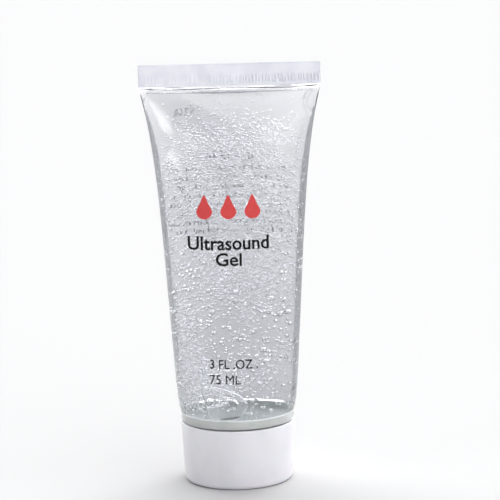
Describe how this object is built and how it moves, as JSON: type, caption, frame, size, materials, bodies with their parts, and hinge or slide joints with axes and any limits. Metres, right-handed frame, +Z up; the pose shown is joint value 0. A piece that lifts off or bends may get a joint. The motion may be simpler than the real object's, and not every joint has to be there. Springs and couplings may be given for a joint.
{
  "type": "squeeze tube of contact gel",
  "caption": "Clear plastic squeeze tube of bubbly contact gel, round at a white screw-on stand-up cap and pressed flat to a ribbed, heat-sealed edge at the top.",
  "frame": {"origin": "middle of the cap's flat end, which the tube stands on", "axes": "+Z up along the tube to the sealed edge, +X along the sealed edge to the right of the printed face, and the printed face looks along -Y"},
  "size_m": [0.055, 0.0352, 0.128],
  "materials": {
    "clear_film": "clear glossy polyethylene film",
    "milky_plastic": "natural, slightly milky polyethylene",
    "foil": "smooth foil",
    "clear_gel": "clear water-based gel full of fine air bubbles",
    "white_foam": "fine white foamed polyethylene",
    "white_plastic": "white polypropylene, satin"
  },
  "bodies": {
    "tube": {"tube_sleeve": "clear_film", "tube_head": "milky_plastic", "orifice_seal": "foil", "gel_fill": "clear_gel"},
    "liner": {"cap_liner": "white_foam"},
    "cap": {"cap_shell": "white_plastic"}
  },
  "joints": [
    {"name": "cap_rise", "type": "slide", "parent": "tube", "child": "liner", "axis": [0, 0, -1], "range_m": [0, 0.0105]},
    {"name": "cap_turn", "type": "hinge", "parent": "liner", "child": "cap", "pos_m": [0, 0, 0.0024], "axis": [0, 0, -1], "range_deg": [0, 1260]}
  ],
  "couplings": [
    {"joint": "cap_rise", "follows": "cap_turn", "m_per_rad": 0.00047746}
  ]
}
